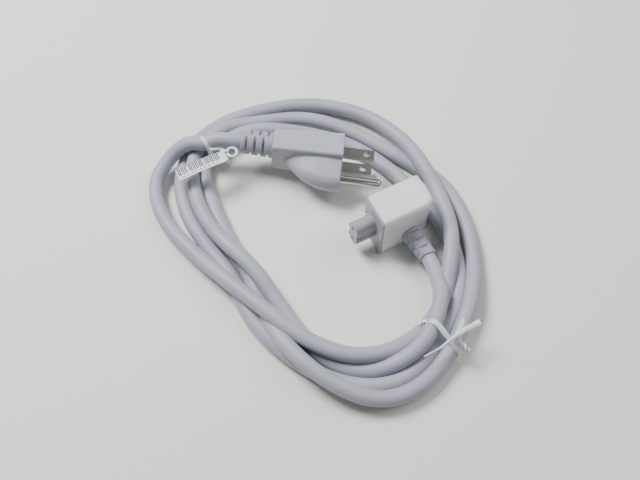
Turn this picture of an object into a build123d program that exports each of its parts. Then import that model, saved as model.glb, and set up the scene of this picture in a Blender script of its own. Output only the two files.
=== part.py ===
from build123d import *
import os
from math import pi, radians, tan

# Mains extension lead of a laptop power adapter, lying loosely coiled on a table. Millimetres, +Z up.
# The origin is under the middle of the adapter-end connector, on the surface that the lead lies on.
# The connector's nose points along -X, and its own cord leaves its front (-Y) face.

# ---- adapter-end connector ----
SHELL_X = (-8.5, 20.0)          # mating side to rounded outer side
SHELL_THICK = 17.6              # along Y
SHELL_HEIGHT = 28.5             # the thickness of the adapter that it plugs into
SHELL_WALL = 1.8
CORNER_R = 7.0                  # outer vertical corner
BACK_CORNER_R = 1.7             # vertical corners of the back
FACE_EDGE_R = 2.6               # edges of the top, bottom and outer faces
PLATE = 1.6                     # inner cover's plates
CHEEK_PROUD = 1.0               # how far the cover's cheek stands out of the shell
NOSE_TIP_X = -20.0
NOSE_Y = 1.1
NOSE_LOBE_R = 3.95
NOSE_LOBE_OFFSET = 3.45
NOSE_WAIST = 6.5                # width between the two lobes
CONTACT_OFFSET = 4.3            # half the 8.6 mm pitch of the two round contacts
SOCKET_R = 1.6
SOCKET_BORE_R = 1.2
SOCKET_DEPTH = 14.0             # from the nose tip to the floor of the contact bore
SOCKET_END_X = -1.0
GROOVE_WIDTH = 3.8              # neck of the stud groove in the back of the cover
STUD_HEAD_WIDTH = 8.4
STUD_HEAD_DEPTH = 1.7
GROOVE_END_X = 9.0
SPRING_THICK = 0.4
FIT = 0.05                      # clearance between fixed pieces that plug into each other

# ---- strain relief and cord of the connector ----
CORD_D = 7.6
WIRE_R = 1.1
RELIEF_START = (7.5, -SHELL_THICK / 2, 8.5)
RELIEF_R = (5.4, 4.6)
BLOCK_LEAD = [(8.6, -23.8, 7.0), (8.0, -29.5, 7.0), (6.6, -35.3, 7.8), (4.2, -40.7, 9.0)]

# ---- plug (two flat blades and a round earth pin, 15 A type) ----
PLUG_ORIGIN = (-3.5, 43.1, 12.8)    # between the two blades, on the front face
PLUG_YAW = -32.9
PLUG_PITCH = -5.0
PLUG_LENGTH = 36.0
PLUG_BACK = 8.6                 # far side of the body from the blade line
PLUG_NEAR = (4.6, 5.9)          # near side of the slab, rear and front
PLUG_HALF = (8.8, 12.3)         # half thickness, rear and front
# the swelling round the earth pin: distance along the plug, reach, tip radius and half thickness
PIN_LOBE = [(0, 18.4, 6.5, 10.6), (-15, 17.0, 5.8, 9.6), (-29, 5.4, 3.0, 7.6)]
BLADE_LINE = 6.35               # each blade from the middle of the plug
BLADE_WIDTH = 6.35
BLADE_THICK = 1.5
BLADE_LENGTH = 16.5
BLADE_HOLE_R = 1.6
BLADE_HOLE_FROM_TIP = 4.6
PIN_R = 2.38
PIN_LENGTH = 21.3
PIN_SHOULDER = 0.5              # the pin is a little thinner inside the body
PIN_OFFSET = 11.9
CORE = (-11.5, -1.2)            # hard insert that holds the blades, along the plug
PLUG_RELIEF_LENGTH = 16.5
PLUG_RELIEF_R = (6.7, 6.0)
RELIEF_SIDE = 3.6               # the cord's axis is this far behind the blade line
PLUG_LEAD_TURNS = [(-57.2, 81.7, 17.6), (-63.2, 84.2, 16.2)]

# ---- coil: the outer shape of about three and a half turns of cord ----
COIL_HEIGHT = 15.8
COIL_EDGE_R = 3.4
COIL_CORNER_R = 11.0
HUMP_HEIGHT = 21.8              # where the plug's cord runs over the bundle
HUMP_CENTRE = (-62.5, 88.0)
HUMP_R = 11.5
COIL_OUTER = [
    (45, 6), (44.5, 22), (40, 42), (33, 64), (20, 83), (-2, 98), (-24, 104), (-46, 104), (-66, 101),
    (-84, 97), (-98, 88), (-104.5, 72), (-104, 54), (-98, 34), (-92, 14), (-89, -8), (-83, -28), (-73, -50),
    (-62, -70), (-46, -81), (-26, -82), (-6, -75), (12, -61), (29, -42), (40, -18),
]
COIL_INNER = [
    (20.8, 9), (18.4, 18), (13.6, 36), (4, 53.5), (-12, 67), (-29, 79), (-44, 84), (-55, 82), (-63, 75.5),
    (-67.5, 64), (-68.5, 48), (-68, 28), (-65.5, 8), (-62.5, -12), (-58, -31), (-49, -45), (-34, -53),
    (-18, -52), (-2, -44), (8, -36), (17, -22), (20.8, -9),
]

# ---- twist ties and label ----
TIE_WIDTH = 2.6
TIE_THICK = 0.8
TIE_WIRE_R = 0.25
TIE_GAP = 0.3
LEFT_TIE = ((-64.2, 87.6, 0), 102, 23.0, 23.4)      # middle, direction of the strap, span, height
RIGHT_TIE = ((-8.6, -61.8, 0), -68, 25.0, 18.0)
LABEL = (26.0, 7.0, 0.4)
LABEL_HINGE = (-57.2, 70.0, 17.6)


def write(shape, name):
    export_step(shape, f"parts/{name}.step")


def box(x, y, z):
    middle = Pos((x[0] + x[1]) / 2, (y[0] + y[1]) / 2, (z[0] + z[1]) / 2)
    return middle * Box(x[1] - x[0], y[1] - y[0], z[1] - z[0])


def rod(start, end, radius, end_radius=None):
    """A round bar, or a cone, from one point to another."""
    along = Vector(*end) - Vector(*start)
    place = Plane(origin=start, z_dir=along)
    if end_radius is None:
        return extrude(place * Circle(radius), amount=along.length)
    return loft([place * Circle(radius), place.offset(along.length) * Circle(end_radius)])


def wire(points, radius):
    """A wire through the points, with ball corners."""
    shape = rod(points[0], points[1], radius)
    for start, end in zip(points[1:], points[2:]):
        shape += Pos(*start) * Sphere(radius) + rod(start, end, radius)
    return shape


def cord_tube(points, name):
    """Straight runs joined by arcs of 0.45 of the shorter run over the tangent of half the turn."""
    runs = [Vector(*b) - Vector(*a) for a, b in zip(points, points[1:])]
    radii = [0.45 * min(a.length, b.length) / tan(radians(a.get_angle(b)) / 2)
             for a, b in zip(runs, runs[1:])]
    path = FilletPolyline(*points, radius=radii)
    tube = sweep(Plane(origin=points[0], z_dir=runs[0]) * Circle(CORD_D / 2), path=path)
    ratio = tube.volume / (pi * CORD_D ** 2 / 4 * path.length)
    print(f"{name}: corner radii {[round(r) for r in radii]}, volume over section x length {ratio:.4f}")
    return tube


# ------------------------------------------------------------------ adapter-end connector
MID_Z = SHELL_HEIGHT / 2
Y0, Y1 = -SHELL_THICK / 2, SHELL_THICK / 2
CHEEK_X = SHELL_X[0] - CHEEK_PROUD
PLATE_X = SHELL_X[0] + PLATE        # inside face of the cheek plate
CARRIER_TOP_Y = Y1 - PLATE - STUD_HEAD_DEPTH - 0.15
CONTACT_Z = (MID_Z - CONTACT_OFFSET, MID_Z + CONTACT_OFFSET)
SPRING_Z = 3.05                     # each earth spring from the middle of the groove
CARRIER_X = (-5.25, 1.0)
RELIEF_NECK_R = 4.45                # where the strain relief passes through the shell
RELIEF_FLANGE = (5.5, 1.5)          # radius and thickness of the rim behind the shell's wall


def figure_8(x, radius):
    plane = Plane.YZ.offset(x)
    lower, upper = (plane * Pos(NOSE_Y, MID_Z + s * NOSE_LOBE_OFFSET) * Circle(radius) for s in (-1, 1))
    waist = Rectangle(NOSE_WAIST + 2 * (radius - NOSE_LOBE_R), 2 * NOSE_LOBE_OFFSET)
    return lower + upper + plane * Pos(NOSE_Y, MID_Z) * waist


def nose_prism(x_start, x_end, grow=0.0):
    return extrude(figure_8(x_start, NOSE_LOBE_R + grow), amount=x_end - x_start)


def connector_shell():
    """Rounded on its outer edges and square where it meets the adapter."""
    block = box((SHELL_X[0] - 5, SHELL_X[1]), (Y0, Y1 + 5), (0, SHELL_HEIGHT))
    block = fillet(block.edges().filter_by(Axis.Z).group_by(Axis.X)[-1].sort_by(Axis.Y)[0], CORNER_R)
    levels = block.faces().sort_by(Axis.Z)
    outer_rims = [edge for edge in levels[0].edges() + levels[-1].edges()
                  if edge.center().X > SHELL_X[0] and edge.center().Y < Y1]
    block = fillet(outer_rims, FACE_EDGE_R)
    length = SHELL_X[1] - SHELL_X[0]
    outline = Pos((SHELL_X[0] + SHELL_X[1]) / 2, 0) * Rectangle(length, SHELL_THICK)
    outline = fillet(outline.vertices().group_by(Axis.Y)[-1], BACK_CORNER_R)
    outer = block & extrude(outline, amount=SHELL_HEIGHT)
    hollow = box((SHELL_X[0] - 1, SHELL_X[1] - SHELL_WALL), (Y0 + SHELL_WALL, Y1 + 1),
                 (SHELL_WALL, SHELL_HEIGHT - SHELL_WALL))
    inner_corner = hollow.edges().filter_by(Axis.Z).group_by(Axis.X)[-1].sort_by(Axis.Y)[0]
    hollow = fillet(inner_corner, CORNER_R - SHELL_WALL)
    x, _, z = RELIEF_START
    hole = rod((x, Y0 - 1, z), (x, Y0 + 4, z), RELIEF_NECK_R + FIT)
    return outer - hollow - hole


def connector_inner_cover():
    gap = SHELL_WALL + FIT
    cheek = box((CHEEK_X, SHELL_X[0]), (Y0 + 0.5, Y1), (0.5, SHELL_HEIGHT - 0.5))
    cheek = fillet(cheek.edges().filter_by(Axis.Z).group_by(Axis.X)[0].sort_by(Axis.Y)[-1], 0.9)
    plug_in = box((SHELL_X[0] - 0.1, PLATE_X), (Y0 + gap, Y1), (gap, SHELL_HEIGHT - gap))
    back = box((SHELL_X[0] - 0.1, SHELL_X[1] - gap), (Y1 - PLATE, Y1), (gap, SHELL_HEIGHT - gap))
    neck = box((CHEEK_X - 1, GROOVE_END_X), (Y1 - PLATE - 0.1, Y1 + 1),
               (MID_Z - GROOVE_WIDTH / 2, MID_Z + GROOVE_WIDTH / 2))
    neck += Pos(GROOVE_END_X, Y1, MID_Z) * Rot(90, 0, 0) * Cylinder(GROOVE_WIDTH / 2, 4)
    head = box((CHEEK_X - 1, PLATE_X + 1), (Y1 - PLATE - STUD_HEAD_DEPTH, Y1 - PLATE),
               (MID_Z - STUD_HEAD_WIDTH / 2, MID_Z + STUD_HEAD_WIDTH / 2))
    return cheek + plug_in + back - neck - head - nose_prism(CHEEK_X - 1, PLATE_X + 1, FIT)


def connector_nose():
    nose = nose_prism(NOSE_TIP_X, CARRIER_X[0] - FIT) + nose_prism(PLATE_X + FIT, CARRIER_X[0] - FIT, 0.4)
    for z in CONTACT_Z:
        nose -= rod((NOSE_TIP_X - 1, NOSE_Y, z), (0, NOSE_Y, z), SOCKET_BORE_R)
        nose -= rod((NOSE_TIP_X + 1, NOSE_Y, z), (0, NOSE_Y, z), SOCKET_R + FIT)
    return nose


def round_socket(z):
    socket = rod((NOSE_TIP_X + 1, NOSE_Y, z), (SOCKET_END_X, NOSE_Y, z), SOCKET_R)
    socket -= rod((NOSE_TIP_X, NOSE_Y, z), (NOSE_TIP_X + SOCKET_DEPTH, NOSE_Y, z), SOCKET_BORE_R)
    return socket - rod((SOCKET_END_X - 3, NOSE_Y, z), (SOCKET_END_X + 1, NOSE_Y, z), WIRE_R + 0.03)


def earth_contact(side):
    """A flat spring under one lip of the stud groove, with a tail that slides in the carrier."""
    z = MID_Z + side * SPRING_Z
    width = (z - 0.9, z + 0.9)
    top = Y1 - PLATE - 0.5
    leaf = box((-3.8, 8.0), (top - SPRING_THICK, top), width)
    pad = Pos(5.0, top - 0.15, z) * Cylinder(0.6, 1.8)
    return leaf + pad + box((-3.8, -3.4), (3.4, top), width)


def contact_carrier():
    carrier = box(CARRIER_X, (-3.4, CARRIER_TOP_Y), (MID_Z - 7.6, MID_Z + 7.6))
    for z in CONTACT_Z:
        carrier -= rod((-10, NOSE_Y, z), (10, NOSE_Y, z), SOCKET_R + FIT)
    for side in (-1, 1):
        z = MID_Z + side * SPRING_Z
        carrier -= box((-3.86, -3.34), (2.8, 10), (z - 0.95, z + 0.95))
    return carrier - rod((-1.5, 3.2, MID_Z), (3, 3.2, MID_Z), WIRE_R + 0.03)


def connector_wires():
    x, _, z = RELIEF_START
    ends = {"line": (SOCKET_END_X - 2.8, NOSE_Y, CONTACT_Z[0]),
            "neutral": (SOCKET_END_X - 2.8, NOSE_Y, CONTACT_Z[1]), "earth": (-1.3, 3.2, MID_Z)}
    places = {"line": (x - 1.3, z - 1.3), "neutral": (x - 1.3, z + 1.3), "earth": (x + 1.5, z)}
    turn = {"line": 3.0, "neutral": 3.4, "earth": 5.8}
    for name, end in ends.items():
        px, pz = places[name]
        yield name, [end, (turn[name], end[1], end[2]), (px, -2.2, pz), (px, Y0, pz)]


def slots(shape, frame, stations, radius, depth, width, length, first_turn=0):
    """Cuts rings of slots in a strain relief: two opposite ones in each, a quarter turn on in the next."""
    for index, station in enumerate(stations):
        for side in (0, 180):
            turn = first_turn + side + (90 if index % 2 else 0)
            cutter = Pos(0, 0, station) * Rot(0, 0, turn) * Pos(radius, 0, 0) * Box(2 * depth, length, width)
            shape -= frame * cutter
    return shape


def connector_strain_relief():
    lead_dir = Vector(*BLOCK_LEAD[1]) - Vector(*BLOCK_LEAD[0])
    start = Plane(origin=RELIEF_START, z_dir=(0, -1, 0))
    end = Plane(origin=BLOCK_LEAD[0], z_dir=lead_dir)
    relief = loft([start * Circle(RELIEF_R[0]), end * Circle(RELIEF_R[1])])
    along = Vector(*BLOCK_LEAD[0]) - Vector(*RELIEF_START)
    frame = Plane(origin=RELIEF_START, z_dir=along, x_dir=(0, 0, 1)).location
    relief = slots(relief, frame, [2.2, 4.3, 6.5, 8.6, 10.8, 12.6], 5.1, 1.25, 1.3, 9.0)
    x, _, z = RELIEF_START
    wall_y = Y0 + SHELL_WALL + 0.03
    relief += rod((x, wall_y, z), (x, Y0, z), RELIEF_NECK_R)
    relief += rod((x, wall_y + RELIEF_FLANGE[1], z), (x, wall_y, z), RELIEF_FLANGE[0])
    return relief - rod((x, 0, z), (x, Y0 - 1, z), 3.4)


# ------------------------------------------------------------------ plug
PLUG = Pos(*PLUG_ORIGIN) * Rot(0, 0, PLUG_YAW) * Rot(0, -PLUG_PITCH, 0)


def plug_section(along, *shapes):
    """Shapes drawn on a cross-section of the plug: X is towards the earth pin and Y is up."""
    plane = Plane(origin=(along, 0, 0), x_dir=(0, -1, 0), z_dir=(-1, 0, 0))
    return [plane * s for s in shapes]


def slab_section(along, near, half):
    width = near + PLUG_BACK
    return plug_section(along, Pos(near - width / 2, 0) * RectangleRounded(width, 2 * half, 1.6))[0]


def lobe_section(along, reach, radius, half):
    tip = Pos(reach - radius, 0) * Circle(radius)
    root = Pos(-1, 0) * Rectangle(2, 2 * half)
    return plug_section(along, make_hull(tip.edges() + root.edges()))[0]


def plug_body():
    front = slab_section(0, PLUG_NEAR[1], PLUG_HALF[1])
    body = loft([front, slab_section(-PLUG_LENGTH, PLUG_NEAR[0], PLUG_HALF[0])])
    body += loft([lobe_section(*station) for station in PIN_LOBE])
    body -= core_shape(FIT)
    for piece in (*blades(0.03), pin(0.03), *crimps(0.05), *plug_wires(0.05)):
        body -= piece
    return body - rod((-PLUG_LENGTH - 1, RELIEF_SIDE, 0), (-PLUG_LENGTH + 3.1, RELIEF_SIDE, 0), 4.9)


def core_shape(grow=0.0):
    x = (CORE[0] - grow, CORE[1] + grow)
    core = box(x, (-4.6 - grow, 5.2 + grow), (-8.6 - grow, 8.6 + grow))
    core += box(x, (-PIN_OFFSET, 0), (-3.3 - grow, 3.3 + grow))
    return core + rod((x[0], -PIN_OFFSET, 0), (x[1], -PIN_OFFSET, 0), 3.3 + grow)


def plug_core():
    core = core_shape()
    for piece in (*blades(0.03), pin(0.03), *crimps(0.05)):
        core -= piece
    return core


def blades(grow=0.0):
    """The two flat blades; the hole is left out when they are grown to cut their slots."""
    for side in (1, -1):
        z = side * BLADE_LINE
        blade = box((CORE[0] - 0.5, BLADE_LENGTH), (-BLADE_WIDTH / 2 - grow, BLADE_WIDTH / 2 + grow),
                    (z - BLADE_THICK / 2 - grow, z + BLADE_THICK / 2 + grow))
        if not grow:
            tip = blade.faces().sort_by(Axis.X)[-1]
            blade = chamfer(tip.edges(), 0.45)
            hole = Pos(BLADE_LENGTH - BLADE_HOLE_FROM_TIP, 0, z) * Cylinder(BLADE_HOLE_R, 4)
            blade -= hole
        yield blade


def pin(grow=0.0):
    shape = rod((CORE[0] - 0.5, -PIN_OFFSET, 0), (PIN_LENGTH, -PIN_OFFSET, 0), PIN_R + grow)
    if grow:
        return shape
    tail = rod((CORE[0] - 0.5, -PIN_OFFSET, 0), (PIN_SHOULDER, -PIN_OFFSET, 0), PIN_R - 0.15)
    shape = rod((PIN_SHOULDER, -PIN_OFFSET, 0), (PIN_LENGTH, -PIN_OFFSET, 0), PIN_R)
    return tail + fillet(shape.faces().sort_by(Axis.X)[-1].edges(), 1.8)


def crimps(grow=0.0):
    """Sleeves that join each wire to its blade or pin."""
    for y, z in ((0, BLADE_LINE), (0, -BLADE_LINE), (-PIN_OFFSET, 0)):
        sleeve = rod((CORE[0] - 5.0 - grow, y, z), (CORE[0] - 0.5, y, z), 1.8 + grow)
        if not grow:
            sleeve -= rod((CORE[0] - 7, y, z), (CORE[0] - 1, y, z), WIRE_R + 0.03)
        yield sleeve


def plug_wires(grow=0.0):
    bundle = ((RELIEF_SIDE + 1.5, 1.4), (RELIEF_SIDE + 1.5, -1.4), (RELIEF_SIDE - 1.5, 0))
    for (y, z), (by, bz) in zip(((0, BLADE_LINE), (0, -BLADE_LINE), (-PIN_OFFSET, 0)), bundle):
        points = [(CORE[0] - 1.2, y, z), (CORE[0] - 6.5, y, z), (-30.0, by, bz), (-PLUG_LENGTH - 8, by, bz)]
        yield wire(points, WIRE_R + grow)


def plug_strain_relief():
    start, end = -PLUG_LENGTH, -PLUG_LENGTH - PLUG_RELIEF_LENGTH
    relief = rod((start, RELIEF_SIDE, 0), (end, RELIEF_SIDE, 0), *PLUG_RELIEF_R)
    frame = Location((start, RELIEF_SIDE, 0), (0, -90, 0))
    relief = slots(relief, frame, [2.7, 4.9, 7.1, 9.3, 11.5, 13.7], 6.3, 1.6, 1.3, 8.6, first_turn=45)
    relief += rod((start + 3.0, RELIEF_SIDE, 0), (start, RELIEF_SIDE, 0), 4.85)
    return relief - rod((start + 4, RELIEF_SIDE, 0), (start - 8.2, RELIEF_SIDE, 0), 3.6)


# ------------------------------------------------------------------ cord
def plug_point(along, left, up):
    return (PLUG * Pos(along, left, up)).position


def plug_lead_points():
    relief_end = -PLUG_LENGTH - PLUG_RELIEF_LENGTH
    straight = [plug_point(along, RELIEF_SIDE, 0) for along in (relief_end, relief_end - 6.9)]
    return [(p.X, p.Y, p.Z) for p in straight] + PLUG_LEAD_TURNS


def cord_coil():
    """One closed solid of the outer shape of the coiled turns, narrowed under the two ties."""
    outer, inner = (make_face(Polyline(*points, close=True)) for points in (COIL_OUTER, COIL_INNER))
    outer, inner = (fillet(face.vertices(), COIL_CORNER_R) for face in (outer, inner))
    coil = extrude(outer, amount=COIL_HEIGHT) - extrude(inner, amount=COIL_HEIGHT)
    coil = fillet(coil.edges().filter_by(Plane.XY), COIL_EDGE_R)
    tall = extrude(outer, amount=HUMP_HEIGHT) - extrude(inner, amount=HUMP_HEIGHT)
    hump = tall & (Pos(*HUMP_CENTRE, HUMP_HEIGHT / 2) * Cylinder(HUMP_R, HUMP_HEIGHT))
    hump = fillet(hump.faces().sort_by(Axis.Z)[-1].edges(), 3.0)
    coil += hump
    for tie in (LEFT_TIE, RIGHT_TIE):
        middle, direction, span, height = tie
        slab = Pos(0, 0, 20) * Box(80, TIE_WIDTH + 2 * TIE_GAP, 40)
        inset = 2 * (TIE_THICK + TIE_GAP)
        keep = RectangleRounded(span - inset, height - inset, 1.6)
        keep = extrude(keep, amount=TIE_WIDTH / 2 + 1, both=True)
        keep = Pos(0, 0, height / 2) * Rot(90, 0, 0) * keep
        room = Pos(*middle) * Rot(0, 0, direction) * (slab - keep)
        coil -= room & (Pos(middle[0], middle[1], 20) * Box(44, 44, 50))
    return coil


# ------------------------------------------------------------------ twist ties and label
def tie_loop(tie):
    """The strap round the bundle, the room for its wire core, and the core."""
    middle, direction, span, height = tie
    place = Pos(*middle) * Rot(0, 0, direction) * Pos(0, 0, height / 2) * Rot(90, 0, 0)
    strap = RectangleRounded(span, height, 2.4)
    strap -= RectangleRounded(span - 2 * TIE_THICK, height - 2 * TIE_THICK, 1.6)
    ring = place * Pos(0, 0, -TIE_WIDTH / 2) * extrude(strap, amount=TIE_WIDTH)
    middle_line = RectangleRounded(span - TIE_THICK, height - TIE_THICK, 2.0).wire()

    def core(radius):
        start = middle_line @ 0.1
        section = Plane(origin=start, z_dir=middle_line % 0.1) * Circle(radius)
        return place * sweep(section, path=middle_line)

    return ring, core(TIE_WIRE_R + 0.02), core(TIE_WIRE_R)


def strip(start, end, width):
    """A flat tail of the strap."""
    along = Vector(*end) - Vector(*start)
    place = Plane(origin=start, x_dir=along.cross(Vector(0, 0, 1)), z_dir=along)
    return extrude(place * Rectangle(width, TIE_THICK), amount=along.length)


def left_tie_tail():
    """The twisted end beside the loop, the tail that the label folds round, and the curled end."""
    x, y, z = LABEL_HINGE
    knot = rod((-61.9, 76.2, 19.8), (-59.4, 75.3, 19.1), 1.2)
    tail = wire([(-59.9, 75.5, 19.2), (x, y + 5, z), (x, y - LABEL[1] / 2 - 1, z)], 0.6)
    curl = Pos(x + 4.6, y + 0.2, z) * (Cylinder(3.2, TIE_THICK) - Cylinder(1.4, 2))
    return knot + tail + curl + rod((x, y + 4.7, z), (x + 3.4, y + 2.9, z), 0.28)


def right_tie_tails():
    """The twisted ends on top of the bundle: one long thin tail, one long flat and one short flat."""
    twist = wire([(-7.6, -64.2, 17.6), (-4.2, -68.0, 19.2)], 1.3)
    thin = wire([(-5.6, -66.4, 18.6), (-14.0, -69.4, 18.6), (-23.0, -69.0, 18.2)], 0.5)
    long_flat = strip((-5.6, -66.4, 18.6), (8.4, -66.6, 18.8), 2.6)
    return twist + thin + long_flat + strip((-5.6, -66.2, 18.6), (2.6, -62.6, 18.6), 3.2)


def label_flag():
    """A folded paper flag with a sleeve round the tie's tail."""
    x, y, z = LABEL_HINGE
    length, width, thick = LABEL
    flag = box((x - length, x), (y - width / 2, y + width / 2), (z - thick / 2, z + thick / 2))
    flag += rod((x, y - width / 2, z), (x, y + width / 2, z), 1.0)
    return flag - rod((x, y - width, z), (x, y + width, z), 0.65)


def main():
    os.makedirs("parts", exist_ok=True)
    write(connector_shell(), "connector_shell")
    write(connector_inner_cover(), "connector_inner_cover")
    write(connector_nose(), "connector_nose")
    write(round_socket(CONTACT_Z[0]), "line_socket")
    write(round_socket(CONTACT_Z[1]), "neutral_socket")
    write(earth_contact(-1), "earth_spring_lower")
    write(earth_contact(1), "earth_spring_upper")
    write(contact_carrier(), "contact_carrier")
    write(connector_strain_relief(), "connector_strain_relief")
    for name, points in connector_wires():
        write(wire(points, WIRE_R), f"connector_{name}_wire")

    write(PLUG * plug_body(), "plug_body")
    write(PLUG * plug_core(), "plug_core")
    for name, shape in zip(("neutral_blade", "line_blade"), blades()):
        write(PLUG * shape, name)
    write(PLUG * pin(), "earth_pin")
    for name, shape in zip(("neutral", "line", "earth"), crimps()):
        write(PLUG * shape, f"{name}_crimp")
    for name, shape in zip(("neutral", "line", "earth"), plug_wires()):
        write(PLUG * shape, f"plug_{name}_wire")
    write(PLUG * plug_strain_relief(), "plug_strain_relief")

    coil = cord_coil()
    write(coil, "cord_coil")
    write(cord_tube(plug_lead_points(), "cord_plug_lead") - coil, "cord_plug_lead")
    write(cord_tube(BLOCK_LEAD, "cord_connector_lead") - coil, "cord_connector_lead")

    for name, tie, tails in (("left_tie", LEFT_TIE, left_tie_tail()),
                             ("right_tie", RIGHT_TIE, right_tie_tails())):
        strap, room, core = tie_loop(tie)
        write(strap + tails - room, name)
        write(core, f"{name}_wire")
    write(label_flag(), "label_flag")


main()
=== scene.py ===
import math

import bpy
from mathutils import Matrix, Vector


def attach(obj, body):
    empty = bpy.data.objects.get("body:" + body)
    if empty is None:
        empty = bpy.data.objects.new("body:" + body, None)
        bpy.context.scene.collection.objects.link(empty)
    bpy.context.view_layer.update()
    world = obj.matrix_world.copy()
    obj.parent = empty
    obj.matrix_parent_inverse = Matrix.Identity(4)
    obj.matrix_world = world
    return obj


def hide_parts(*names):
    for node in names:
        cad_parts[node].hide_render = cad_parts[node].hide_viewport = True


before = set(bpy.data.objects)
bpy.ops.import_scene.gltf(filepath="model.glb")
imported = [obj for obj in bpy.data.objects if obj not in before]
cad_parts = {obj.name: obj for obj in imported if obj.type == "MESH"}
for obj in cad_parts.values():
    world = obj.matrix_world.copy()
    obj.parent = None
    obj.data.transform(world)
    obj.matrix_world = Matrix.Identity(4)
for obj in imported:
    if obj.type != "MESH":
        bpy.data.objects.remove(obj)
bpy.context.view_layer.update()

MM = 0.001
CORD_D = 7.6                 # millimetres, as every size below

# ---- where things are, in millimetres in the CAD frame ----
PLUG_ORIGIN = (-3.5, 43.1, 12.8)
PLUG_YAW, PLUG_PITCH = math.radians(-32.9), math.radians(-5.0)
PLUG_RELIEF_SPAN = (-36.0, -52.5)
PLUG_RELIEF_LEFT = 3.6
RELIEF_END = (8.6, -23.8, 7.0)
LABEL_HINGE = (-57.2, 70.0, 17.6)
LABEL_SIZE = (26.0, 7.0)
SHEET_START = 0.8            # the sheet starts clear of the tie's tail, which it swings about
INK_LIFT = (0.15, 0.21)      # the printed marks stand on the sheet's upper face


# ------------------------------------------------------------------ small helpers
def mm(*point):
    return Vector(point) * MM


def mesh_piece(name, verts, faces, body="lead"):
    mesh = bpy.data.meshes.new(name)
    mesh.from_pydata([Vector(v) * MM for v in verts], [], faces)
    mesh.update()
    mesh.polygons.foreach_set("use_smooth", [True] * len(mesh.polygons))
    piece = bpy.data.objects.new(name, mesh)
    bpy.context.collection.objects.link(piece)
    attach(piece, body)
    return piece


def finish_piece(piece, material, slot, *replaced):
    piece.data.materials.clear()
    piece.data.materials.append(material)
    if replaced:
        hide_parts(*replaced)
    return piece


def route_curve(name, points, radius, material, body="lead"):
    """A round cord or wire whose NURBS line has these control points."""
    curve = bpy.data.curves.new(name, "CURVE")
    curve.dimensions = "3D"
    curve.bevel_depth = radius * MM
    curve.bevel_resolution = 8
    curve.resolution_u = 6
    curve.use_fill_caps = True
    spline = curve.splines.new("NURBS")
    spline.points.add(len(points) - 1)
    for target, point in zip(spline.points, points):
        target.co = (*(Vector(point) * MM), 1.0)
    spline.order_u = 3
    spline.use_endpoint_u = True
    piece = bpy.data.objects.new(name, curve)
    bpy.context.collection.objects.link(piece)
    curve.materials.append(material)
    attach(piece, body)
    return piece


# ------------------------------------------------------------------ materials
def material(name, colour, roughness, metallic=0.0, coat=0.0, coat_roughness=0.1, sheen=0.0, specular=0.5):
    made = bpy.data.materials.new(name)
    made.use_nodes = True
    shader = made.node_tree.nodes["Principled BSDF"]
    shader.inputs["Base Color"].default_value = (*colour, 1)
    shader.inputs["Roughness"].default_value = roughness
    shader.inputs["Metallic"].default_value = metallic
    shader.inputs["Coat Weight"].default_value = coat
    shader.inputs["Coat Roughness"].default_value = coat_roughness
    shader.inputs["Sheen Weight"].default_value = sheen
    shader.inputs["Specular IOR Level"].default_value = specular
    return made, shader


def noise(made, scale, detail=4.0, roughness=0.6, stretch=(1, 1, 1)):
    nodes, links = made.node_tree.nodes, made.node_tree.links
    place = nodes.new("ShaderNodeTexCoord")
    mapping = nodes.new("ShaderNodeMapping")
    mapping.inputs["Scale"].default_value = stretch
    texture = nodes.new("ShaderNodeTexNoise")
    texture.inputs["Scale"].default_value = scale
    texture.inputs["Detail"].default_value = detail
    texture.inputs["Roughness"].default_value = roughness
    links.new(place.outputs["Object"], mapping.inputs["Vector"])
    links.new(mapping.outputs["Vector"], texture.inputs["Vector"])
    return texture


def vary_colour(made, shader, texture, low, high, start=0.3, end=0.7):
    nodes, links = made.node_tree.nodes, made.node_tree.links
    ramp = nodes.new("ShaderNodeValToRGB")
    ramp.color_ramp.elements[0].position = start
    ramp.color_ramp.elements[1].position = end
    ramp.color_ramp.elements[0].color = (*low, 1)
    ramp.color_ramp.elements[1].color = (*high, 1)
    links.new(texture.outputs["Fac"], ramp.inputs["Fac"])
    links.new(ramp.outputs["Color"], shader.inputs["Base Color"])


def vary_roughness(made, shader, texture, low, high):
    nodes, links = made.node_tree.nodes, made.node_tree.links
    spread = nodes.new("ShaderNodeMapRange")
    spread.inputs["To Min"].default_value = low
    spread.inputs["To Max"].default_value = high
    links.new(texture.outputs["Fac"], spread.inputs["Value"])
    links.new(spread.outputs["Result"], shader.inputs["Roughness"])


def add_bump(made, shader, texture, strength, distance):
    nodes, links = made.node_tree.nodes, made.node_tree.links
    bump = nodes.new("ShaderNodeBump")
    bump.inputs["Strength"].default_value = strength
    bump.inputs["Distance"].default_value = distance
    links.new(texture.outputs["Fac"], bump.inputs["Height"])
    links.new(bump.outputs["Normal"], shader.inputs["Normal"])


def moulded_vinyl(name, low, high, roughness=(0.42, 0.56), grain=2200):
    made, shader = material(name, high, 0.5, sheen=0.08, specular=0.42)
    shader.inputs["Sheen Roughness"].default_value = 0.4
    vary_colour(made, shader, noise(made, 60, 5), low, high)
    vary_roughness(made, shader, noise(made, 180, 4), *roughness)
    add_bump(made, shader, noise(made, grain, 3), 0.12, 0.0001)
    return made


def gloss_white():
    made, shader = material("connector_gloss_white", (0.83, 0.835, 0.85), 0.16, coat=0.6, coat_roughness=0.05)
    vary_colour(made, shader, noise(made, 35, 4), (0.80, 0.805, 0.82), (0.86, 0.865, 0.875))
    vary_roughness(made, shader, noise(made, 240, 5), 0.10, 0.24)
    add_bump(made, shader, noise(made, 900, 2), 0.02, 0.00005)
    return made


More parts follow.
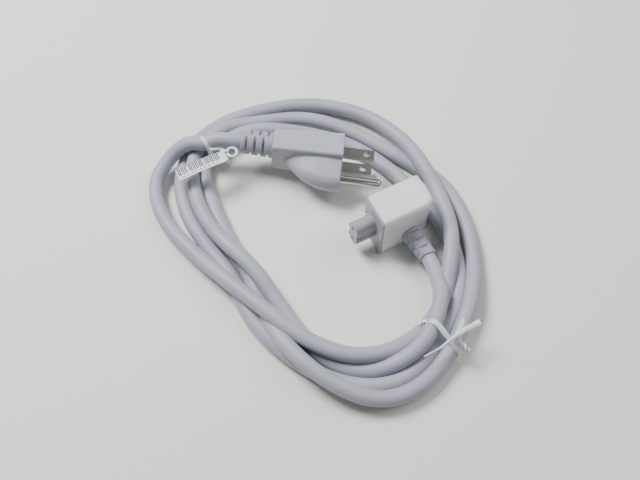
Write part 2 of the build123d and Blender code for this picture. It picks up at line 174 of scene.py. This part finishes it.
def nickel():
    made, shader = material("contact_nickel", (0.60, 0.59, 0.56), 0.2, metallic=1.0)
    vary_colour(made, shader, noise(made, 120, 4, stretch=(1, 1, 3)), (0.52, 0.51, 0.48), (0.66, 0.65, 0.62))
    vary_roughness(made, shader, noise(made, 500, 4, stretch=(1, 5, 1)), 0.12, 0.26)
    add_bump(made, shader, noise(made, 1800, 3, stretch=(1, 4, 1)), 0.03, 0.00002)
    return made


def tie_plastic():
    made, shader = material("tie_white", (0.80, 0.81, 0.83), 0.3, coat=0.25, specular=0.5)
    shader.inputs["Subsurface Weight"].default_value = 0.15
    shader.inputs["Subsurface Scale"].default_value = 0.001
    vary_colour(made, shader, noise(made, 260, 4), (0.70, 0.71, 0.74), (0.86, 0.865, 0.88))
    vary_roughness(made, shader, noise(made, 500, 4), 0.22, 0.45)
    add_bump(made, shader, noise(made, 1500, 3), 0.15, 0.00006)
    return made


def label_paper():
    made, shader = material("label_paper", (0.84, 0.85, 0.88), 0.55)
    vary_colour(made, shader, noise(made, 300, 5), (0.78, 0.79, 0.83), (0.88, 0.89, 0.91))
    vary_roughness(made, shader, noise(made, 800, 4), 0.45, 0.65)
    add_bump(made, shader, noise(made, 3000, 4), 0.12, 0.00004)
    return made


def plain(name, low, high, roughness, metallic=0.0):
    made, shader = material(name, high, sum(roughness) / 2, metallic=metallic)
    vary_colour(made, shader, noise(made, 200, 4), low, high)
    vary_roughness(made, shader, noise(made, 600, 4), *roughness)
    add_bump(made, shader, noise(made, 2000, 3), 0.08, 0.00004)
    return made


VINYL = moulded_vinyl("cord_vinyl", (0.33, 0.34, 0.41), (0.39, 0.40, 0.47))
RELIEF_VINYL = moulded_vinyl("relief_vinyl", (0.31, 0.32, 0.38), (0.37, 0.38, 0.45), (0.36, 0.5))
PLUG_VINYL = moulded_vinyl("plug_vinyl", (0.36, 0.37, 0.43), (0.43, 0.44, 0.51), (0.38, 0.52), 1500)
WHITE = gloss_white()
COVER = moulded_vinyl("cover_grey", (0.30, 0.31, 0.35), (0.36, 0.37, 0.41), (0.28, 0.4), 1800)
NICKEL = nickel()
TIE = tie_plastic()
PAPER = label_paper()
INK = plain("label_ink", (0.012, 0.012, 0.015), (0.03, 0.03, 0.035), (0.4, 0.6))
CARRIER = plain("carrier_black", (0.03, 0.03, 0.033), (0.06, 0.06, 0.065), (0.4, 0.6))
BRASS = plain("crimp_brass", (0.55, 0.42, 0.2), (0.7, 0.56, 0.3), (0.25, 0.4), 1.0)
WIRE_BLACK = plain("wire_black", (0.015, 0.015, 0.015), (0.03, 0.03, 0.03), (0.3, 0.45))
WIRE_WHITE = plain("wire_white", (0.7, 0.7, 0.68), (0.8, 0.8, 0.78), (0.3, 0.45))
WIRE_GREEN = plain("wire_green", (0.03, 0.2, 0.06), (0.05, 0.3, 0.1), (0.3, 0.45))


def paint_cad():
    """Gives each CAD node that stays visible its material."""
    finishes = {
        WHITE: ["connector_shell"], COVER: ["connector_inner_cover", "connector_nose"],
        NICKEL: ["line_socket", "neutral_socket", "earth_spring_lower", "earth_spring_upper",
                 "neutral_blade", "line_blade", "earth_pin"],
        CARRIER: ["contact_carrier", "plug_core"],
        BRASS: ["neutral_crimp", "line_crimp", "earth_crimp"],
        WIRE_BLACK: ["connector_line_wire", "plug_line_wire"],
        WIRE_WHITE: ["connector_neutral_wire", "plug_neutral_wire"],
        WIRE_GREEN: ["connector_earth_wire", "plug_earth_wire"],
    }
    for finish, nodes in finishes.items():
        for node in nodes:
            mesh = bpy.data.objects[node].data
            mesh.materials.clear()
            mesh.materials.append(finish)


# ------------------------------------------------------------------ the cord
# Across the bundle at each station: its inner and outer points, then each turn's distance from the
# inner point and its height. The turns run anticlockwise from the plug.
STATIONS = [
    ((-61.5, 76.0), (-67.0, 100.0), ((7.0, 15.8), (18.3, 5.0), (5.2, 5.0), (11.8, 8.9))),
    ((-63.5, 75.0), (-77.0, 101.0), ((14.5, 16.2), (17.5, 4.3), (4.4, 4.4), (10.6, 8.8))),
    ((-65.0, 73.0), (-88.0, 98.0), ((23.0, 8.4), (15.4, 4.0), (3.9, 4.0), (9.6, 9.2))),
    ((-67.0, 66.0), (-103.0, 84.0), ((31.8, 4.0), (17.6, 4.0), (4.2, 4.0), (10.9, 8.0))),
    ((-68.0, 50.0), (-105.0, 58.0), ((31.4, 4.2), (19.5, 4.0), (5.0, 4.0), (12.2, 7.4))),
    ((-68.0, 30.0), (-98.0, 34.0), ((24.9, 5.4), (16.6, 4.0), (5.4, 4.0), (10.2, 9.9))),
    ((-66.0, 10.0), (-91.0, 12.0), ((19.3, 9.0), (13.8, 4.0), (6.0, 4.0), (4.4, 11.3))),
    ((-63.0, -10.0), (-89.0, -10.0), ((13.4, 11.4), (19.5, 4.2), (11.9, 4.0), (4.3, 7.0))),
    ((-58.0, -31.0), (-82.0, -37.0), ((8.7, 11.4), (17.8, 4.0), (16.6, 11.4), (6.4, 4.1))),
    ((-50.0, -44.0), (-69.0, -64.0), ((6.4, 10.4), (17.6, 4.0), (20.8, 10.7), (10.2, 4.1))),
    ((-39.0, -51.0), (-49.0, -80.0), ((5.5, 9.4), (19.2, 4.0), (26.4, 5.8), (11.9, 5.2))),
    ((-25.0, -53.0), (-26.0, -82.0), ((4.4, 5.8), (17.8, 4.2), (24.9, 4.8), (11.3, 9.0))),
    ((-12.0, -50.0), (-4.0, -74.0), ((4.8, 4.9), (12.2, 4.9), (19.7, 4.9), (8.4, 11.8))),
    ((1.0, -43.0), (14.0, -60.0), ((4.4, 4.4), (11.6, 4.0), (16.9, 9.3), (2.4, 11.8))),
    ((11.0, -31.0), (31.0, -41.0), ((4.7, 9.4), (9.9, 4.0), (17.4, 4.2), None)),
    ((19.0, -18.0), (41.0, -18.0), ((6.6, 11.4), (6.6, 4.0), (17.6, 4.2), None)),
    ((21.0, 5.0), (45.0, 5.0), ((11.5, 8.6), (4.0, 4.0), (19.4, 4.2), None)),
    ((18.0, 20.0), (45.0, 24.0), ((15.4, 11.6), (4.2, 4.0), (17.2, 4.0), None)),
    ((12.0, 39.0), (40.0, 47.0), ((23.2, 7.0), (4.4, 4.0), (12.8, 4.0), None)),
    ((2.0, 55.0), (28.0, 74.0), ((27.8, 5.0), (5.5, 4.0), (14.4, 4.0), None)),
    ((-14.0, 68.0), (4.0, 95.0), ((28.0, 4.4), (6.2, 5.5), (18.2, 4.2), None)),
    ((-33.0, 80.0), (-26.0, 104.0), ((20.4, 4.4), (5.2, 8.4), (12.3, 4.4), None)),
    ((-48.0, 84.0), (-50.0, 104.0), ((16.2, 4.4), (4.0, 6.2), (10.3, 8.2), None)),
]
LAST_STATION = 13            # where the last turn leaves the bundle for the connector
LEFT_TIE_STATION, RIGHT_TIE_STATION = 0, 12
PLUG_LEAD = [(-57.2, 81.7, 17.6)]
CONNECTOR_LEAD = [(4.2, -40.7, 9.0), (6.6, -35.3, 7.8), (8.0, -29.5, 7.0), RELIEF_END]


def plug_frame():
    return (Matrix.Translation(Vector(PLUG_ORIGIN)) @ Matrix.Rotation(PLUG_YAW, 4, "Z")
            @ Matrix.Rotation(-PLUG_PITCH, 4, "Y"))


def plug_point(along, left, up):
    return plug_frame() @ Vector((along, left, up))


def coil_points():
    """The control points of the three and a half turns, worked out station by station."""
    points = []
    for turn in range(4):
        for index, (inner, outer, lanes) in enumerate(STATIONS):
            if turn == 3 and index > LAST_STATION:
                break
            across, height = lanes[turn]
            start = Vector(inner)
            spot = start + (Vector(outer) - start).normalized() * across
            points.append((spot.x, spot.y, height))
    return points


def build_cord():
    relief_end = plug_point(PLUG_RELIEF_SPAN[1] + 0.2, PLUG_RELIEF_LEFT, 0)
    straight = plug_point(PLUG_RELIEF_SPAN[1] - 6.9, PLUG_RELIEF_LEFT, 0)
    points = [tuple(relief_end), tuple(straight), *PLUG_LEAD, *coil_points(), *CONNECTOR_LEAD]
    cord = route_curve("cord", points, CORD_D / 2, VINYL)
    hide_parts("cord_coil", "cord_plug_lead", "cord_connector_lead")
    total = sum(spline.calc_length() for spline in cord.data.splines)
    print("cord length, m:", round(total, 3))
    return cord


# ------------------------------------------------------------------ moulded pieces
def softened(node, name, voxel, rounds, finish, slot):
    """A copy of a CAD node with the soft edges of a moulding."""
    source = bpy.data.objects[node]
    mesh = source.data.copy()
    piece = bpy.data.objects.new(name, mesh)
    bpy.context.collection.objects.link(piece)
    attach(piece, "lead")
    remesh = piece.modifiers.new("remesh", "REMESH")
    remesh.mode = "VOXEL"
    remesh.voxel_size = voxel * MM
    remesh.use_smooth_shade = True
    smooth = piece.modifiers.new("smooth", "SMOOTH")
    smooth.factor = 0.5
    smooth.iterations = rounds
    return finish_piece(piece, finish, slot, node)


RIB_ALONG = (-34.4, -32.1, -29.8)
RIB_LINE = [(-4.45, 6.2 - step) for step in range(13)]
RIB_SECTION = ((-0.45, 0.0), (-0.3, 0.35), (0.3, 0.35), (0.45, 0.0))


def plug_ribs():
    """Three small grip ribs across the near side of the plug's rear end."""
    verts, faces = [], []
    for along in RIB_ALONG:
        for left, up in RIB_LINE:
            for dx, out in RIB_SECTION:
                verts.append(tuple(plug_point(along + dx, left - out, up)))
        first = len(verts) - 4 * len(RIB_LINE)
        for row in range(len(RIB_LINE) - 1):
            for side in range(3):
                a = first + row * 4 + side
                faces.append((a, a + 1, a + 5, a + 4))
        faces += [(first, first + 1, first + 2, first + 3), tuple(len(verts) - 1 - k for k in range(4))]
    return finish_piece(mesh_piece("plug_grip_ribs", verts, faces), PLUG_VINYL, "cord_grey")


# ------------------------------------------------------------------ twist ties
STRAP_WIDTH = 2.7
STRAP_GAP = 0.15
STRAP_LOWEST = 0.05          # the strap's lowest point above the surface it lies on
STRAP_SECTION = [(-0.5, 0.0), (-0.5, 0.28), (-0.2, 0.34), (-0.1, 0.62),
                 (0.1, 0.62), (0.2, 0.34), (0.5, 0.28), (0.5, 0.0)]
TAIL_SECTION = [(-0.5, 0.0), (-0.45, 0.5), (-0.12, 0.6), (0.0, 1.1),
                (0.12, 0.6), (0.45, 0.5), (0.5, 0.0), (0.0, -0.5)]


def hull(points):
    """The convex outline of flat points, anticlockwise."""
    points = sorted(points)

    def half(ordered):
        line = []
        for point in ordered:
            while len(line) > 1 and ((line[-1][0] - line[-2][0]) * (point[1] - line[-2][1])
                                     - (line[-1][1] - line[-2][1]) * (point[0] - line[-2][0])) <= 0:
                line.pop()
            line.append(point)
        return line[:-1]

    return half(points) + half(points[::-1])


def strap_outline(station, steps=28):
    """The tight outline round the cords at a station, as (across, height) points."""
    reach = CORD_D / 2 + STRAP_GAP
    ring = [(math.cos(2 * math.pi * k / steps), math.sin(2 * math.pi * k / steps)) for k in range(steps)]
    return hull([(across + reach * c, height + reach * s)
                 for across, height in (lane for lane in STATIONS[station][2] if lane) for c, s in ring])


def strap_band(name, station):
    """The strap round the bundle: a flat band with a ridge over its wire core."""
    inner, outer, _ = STATIONS[station]
    start = Vector((*inner, 0))
    across_dir = (Vector((*outer, 0)) - start).normalized()
    along_dir = across_dir.cross(Vector((0, 0, 1)))
    outline = strap_outline(station)
    verts, faces = [], []
    count = len(outline)
    for k, (across, height) in enumerate(outline):
        ahead, behind = outline[(k + 1) % count], outline[k - 1]
        out = Vector((ahead[1] - behind[1], behind[0] - ahead[0])).normalized()
        for sideways, lift in STRAP_SECTION:
            up = max(height + out.y * lift, STRAP_LOWEST)
            spot = (start + across_dir * (across + out.x * lift) + Vector((0, 0, up))
                    + along_dir * sideways * STRAP_WIDTH)
            verts.append(tuple(spot))
    width = len(STRAP_SECTION)
    for k in range(count):
        for side in range(width):
            a, b = k * width + side, k * width + (side + 1) % width
            c, d = ((k + 1) % count) * width + (side + 1) % width, ((k + 1) % count) * width + side
            faces.append((a, b, c, d))
    return mesh_piece(name, verts, faces)


def ribbon(name, points, widths, thick=0.35, twist=0.0, body="lead"):
    """A flat tail through the points, with a ridge along its middle, turned evenly by twist degrees."""
    verts, faces = [], []
    fine = []
    for a, b in zip(points, points[1:]):
        fine += [Vector(a).lerp(Vector(b), k / 8) for k in range(8)]
    fine.append(Vector(points[-1]))
    for _ in range(3):
        fine = [fine[0]] + [(a + 2 * b + c) / 4 for a, b, c in zip(fine, fine[1:], fine[2:])] + [fine[-1]]
    last = len(fine) - 1
    for k, point in enumerate(fine):
        ahead = (fine[min(k + 1, last)] - fine[max(k - 1, 0)]).normalized()
        side = ahead.cross(Vector((0, 0, 1))).normalized()
        side = Matrix.Rotation(math.radians(twist) * k / last, 3, ahead) @ side
        up = side.cross(ahead)
        where = k / last * (len(widths) - 1)
        low_index = min(int(where), len(widths) - 2)
        width = widths[low_index] + (widths[low_index + 1] - widths[low_index]) * (where - low_index)
        for sideways, lift in TAIL_SECTION:
            verts.append(tuple(point + side * sideways * width + up * lift * thick))
    size = len(TAIL_SECTION)
    for k in range(last):
        for n in range(size):
            a, b = k * size + n, k * size + (n + 1) % size
            faces.append((a, b, b + size, a + size))
    faces += [tuple(range(size))[::-1], tuple(last * size + n for n in range(size))]
    return mesh_piece(name, verts, faces, body=body)


def tie_piece(piece, *nodes):
    return finish_piece(piece, TIE, "tie_white", *nodes)


def build_left_tie():
    band = tie_piece(strap_band("left_tie_strap", LEFT_TIE_STATION), "left_tie", "left_tie_wire")
    x, y, z = LABEL_HINGE
    tie_piece(ribbon("left_tie_twist", [(-61.9, 77.4, 17.6), (-60.8, 75.9, 18.2), (-59.2, 75.2, 18.4)],
                     [2.0, 1.6, 1.8], 0.7, 540))
    tie_piece(ribbon("left_tie_tail", [(-59.2, 75.2, 18.4), (x - 0.2, y + 4.6, z + 0.2),
                                       (x, y + 1, z), (x + 0.2, y - 4.4, z - 0.3)],
                     [1.1, 0.9, 0.9, 0.8], 0.45))
    curl = [(x + 4.4 + 2.5 * math.cos(a), y + 0.4 + 2.5 * math.sin(a), z + 0.1 + 0.35 * math.sin(a / 2))
            for a in (math.radians(150 - 22 * k) for k in range(17))]
    tie_piece(ribbon("left_tie_curl", [(x + 0.2, y + 4.4, z + 0.3), *curl], [0.9] + [1.5] * 16 + [1.2], 0.5))
    return band


def build_right_tie():
    tie_piece(strap_band("right_tie_strap", RIGHT_TIE_STATION), "right_tie", "right_tie_wire")
    tie_piece(ribbon("right_tie_twist", [(-5.6, -66.0, 13.4), (-4.0, -69.2, 12.6),
                                         (-2.6, -72.6, 10.8), (-1.4, -74.6, 9.4)],
                     [3.0, 3.4, 3.2, 2.4], 1.2, 720))
    tie_piece(ribbon("right_tie_long_tail", [(-22.6, -68.6, 15.4), (-14.0, -68.6, 16.0), (-6.6, -67.0, 16.0),
                                             (1.0, -66.4, 16.6), (8.0, -66.6, 17.4)],
                     [0.7, 1.0, 1.6, 2.4, 2.8], 0.45))
    tie_piece(ribbon("right_tie_short_tail", [(-5.0, -67.4, 14.6), (-1.4, -65.6, 15.6), (2.4, -62.8, 16.6)],
                     [2.2, 3.4, 3.8], 0.5, 40))
    tie_piece(ribbon("right_tie_curled_end", [(-13.4, -52.6, 9.6), (-15.0, -52.0, 7.6), (-15.4, -53.4, 5.8)],
                     [2.0, 1.8, 1.4], 0.5))


# ------------------------------------------------------------------ label
def label_spot(along, across, lift=0.0):
    """A point of the flag: along from the tie's tail, across its width, lift above its surface."""
    x, y, z = LABEL_HINGE
    length = LABEL_SIZE[0]
    sag = 0.55 * math.sin(math.pi * along / length) - 0.5 * (along / length) ** 2
    roll = 0.25 * math.cos(math.pi * across / LABEL_SIZE[1])
    return (x - along, y + across, z + sag - roll + lift)


def label_patch(name, along, across, lift, finish, slot, steps):
    """A thin patch of the flag, from along[0] to along[1] and across[0] to across[1]."""
    verts, faces = [], []
    rows, columns = steps
    for side in (0.0, 1.0):
        for i in range(rows + 1):
            for j in range(columns + 1):
                verts.append(label_spot(along[0] + (along[1] - along[0]) * i / rows,
                                        across[0] + (across[1] - across[0]) * j / columns,
                                        lift[0] if side == 0 else lift[1]))
    layer = (rows + 1) * (columns + 1)
    for i in range(rows):
        for j in range(columns):
            a = i * (columns + 1) + j
            b, c, d = a + 1, a + columns + 2, a + columns + 1
            faces += [(d, c, b, a), (layer + a, layer + b, layer + c, layer + d)]
    edge = ([i * (columns + 1) for i in range(rows + 1)]
            + [rows * (columns + 1) + j for j in range(1, columns + 1)]
            + [i * (columns + 1) + columns for i in range(rows - 1, -1, -1)]
            + [j for j in range(columns - 1, 0, -1)])
    for a, b in zip(edge, edge[1:] + edge[:1]):
        faces.append((a, b, layer + b, layer + a))
    piece = mesh_piece(name, verts, faces, body="label")
    return finish_piece(piece, finish, slot)


def build_label():
    half = LABEL_SIZE[1] / 2
    flag = label_patch("label_sheet", (SHEET_START, LABEL_SIZE[0]), (-half, half), (-0.15, 0.15),
                       PAPER, "label_paper", (26, 6))
    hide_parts("label_flag")
    bars, place = [], 2.6
    for index in range(31):
        width = 0.35 + 0.22 * ((index * index + 3 * index) % 3)
        bars.append((place, place + width))
        place += width + 0.34 + 0.16 * (index % 2) + (0.5 if index % 9 == 8 else 0.0)
    for index, (start, end) in enumerate(bars):
        if end < LABEL_SIZE[0] - 0.6:
            label_patch(f"label_bar_{index}", (start, end), (-0.9, half - 0.5), INK_LIFT,
                        INK, "label_paper", (1, 4))
    for index in range(9):
        start = 4.0 + 2.3 * index
        label_patch(f"label_dash_{index}", (start, start + 1.5), (-2.4, -1.9), INK_LIFT,
                    INK, "label_paper", (2, 1))
    x, y, z = LABEL_HINGE
    sleeve = [(x, y - half, z), (x, y, z), (x, y + half, z)]
    return route_curve("label_sleeve", sleeve, 0.95, PAPER, "label")


# ------------------------------------------------------------------ floor, light and camera
def build_stage():
    bpy.ops.mesh.primitive_plane_add(size=6, location=(0, 0, -0.0002))
    floor = bpy.context.object
    made, shader = material("floor", (0.80, 0.80, 0.745), 0.75, specular=0.25)
    floor.data.materials.append(made)

    world = bpy.data.worlds.new("studio")
    bpy.context.scene.world = world
    world.use_nodes = True
    world.node_tree.nodes["Background"].inputs["Color"].default_value = (1, 1, 1, 1)
    world.node_tree.nodes["Background"].inputs["Strength"].default_value = 0.19
    for name, place, size, power in (
        ("key", (-0.3, 0.55, 0.85), 0.4, 17.0),
        ("fill", (0.7, -0.1, 0.9), 0.9, 6.5),
    ):
        light = bpy.data.lights.new(name, "AREA")
        light.size = size
        light.energy = power
        lamp = bpy.data.objects.new(name, light)
        lamp.location = place
        lamp.rotation_euler = (mm(-30, 10, 0) - Vector(place)).to_track_quat("-Z", "Y").to_euler()
        bpy.context.collection.objects.link(lamp)


def build_camera():
    """The camera stands 355 mm from a point on the floor, 61 degrees up and 27.5 degrees round."""
    camera = bpy.data.cameras.new("camera")
    camera.sensor_width = 36
    camera.lens = 39.4
    camera.clip_start = 0.01
    holder = bpy.data.objects.new("camera", camera)
    holder.location = mm(-111.7, -140.6, 310.0)
    aim = mm(-32.1, 12.4, 0) - holder.location
    holder.rotation_euler = aim.to_track_quat("-Z", "Y").to_euler()
    bpy.context.collection.objects.link(holder)
    bpy.context.scene.camera = holder


paint_cad()
the_cord = build_cord()
softened("plug_body", "plug_overmould", 0.4, 7, PLUG_VINYL, "cord_grey")
softened("plug_strain_relief", "plug_relief_moulding", 0.22, 3, RELIEF_VINYL, "cord_grey")
softened("connector_strain_relief", "connector_relief_moulding", 0.2, 3, RELIEF_VINYL, "cord_grey")
plug_ribs()
build_left_tie()
build_right_tie()
build_label()
build_stage()
build_camera()
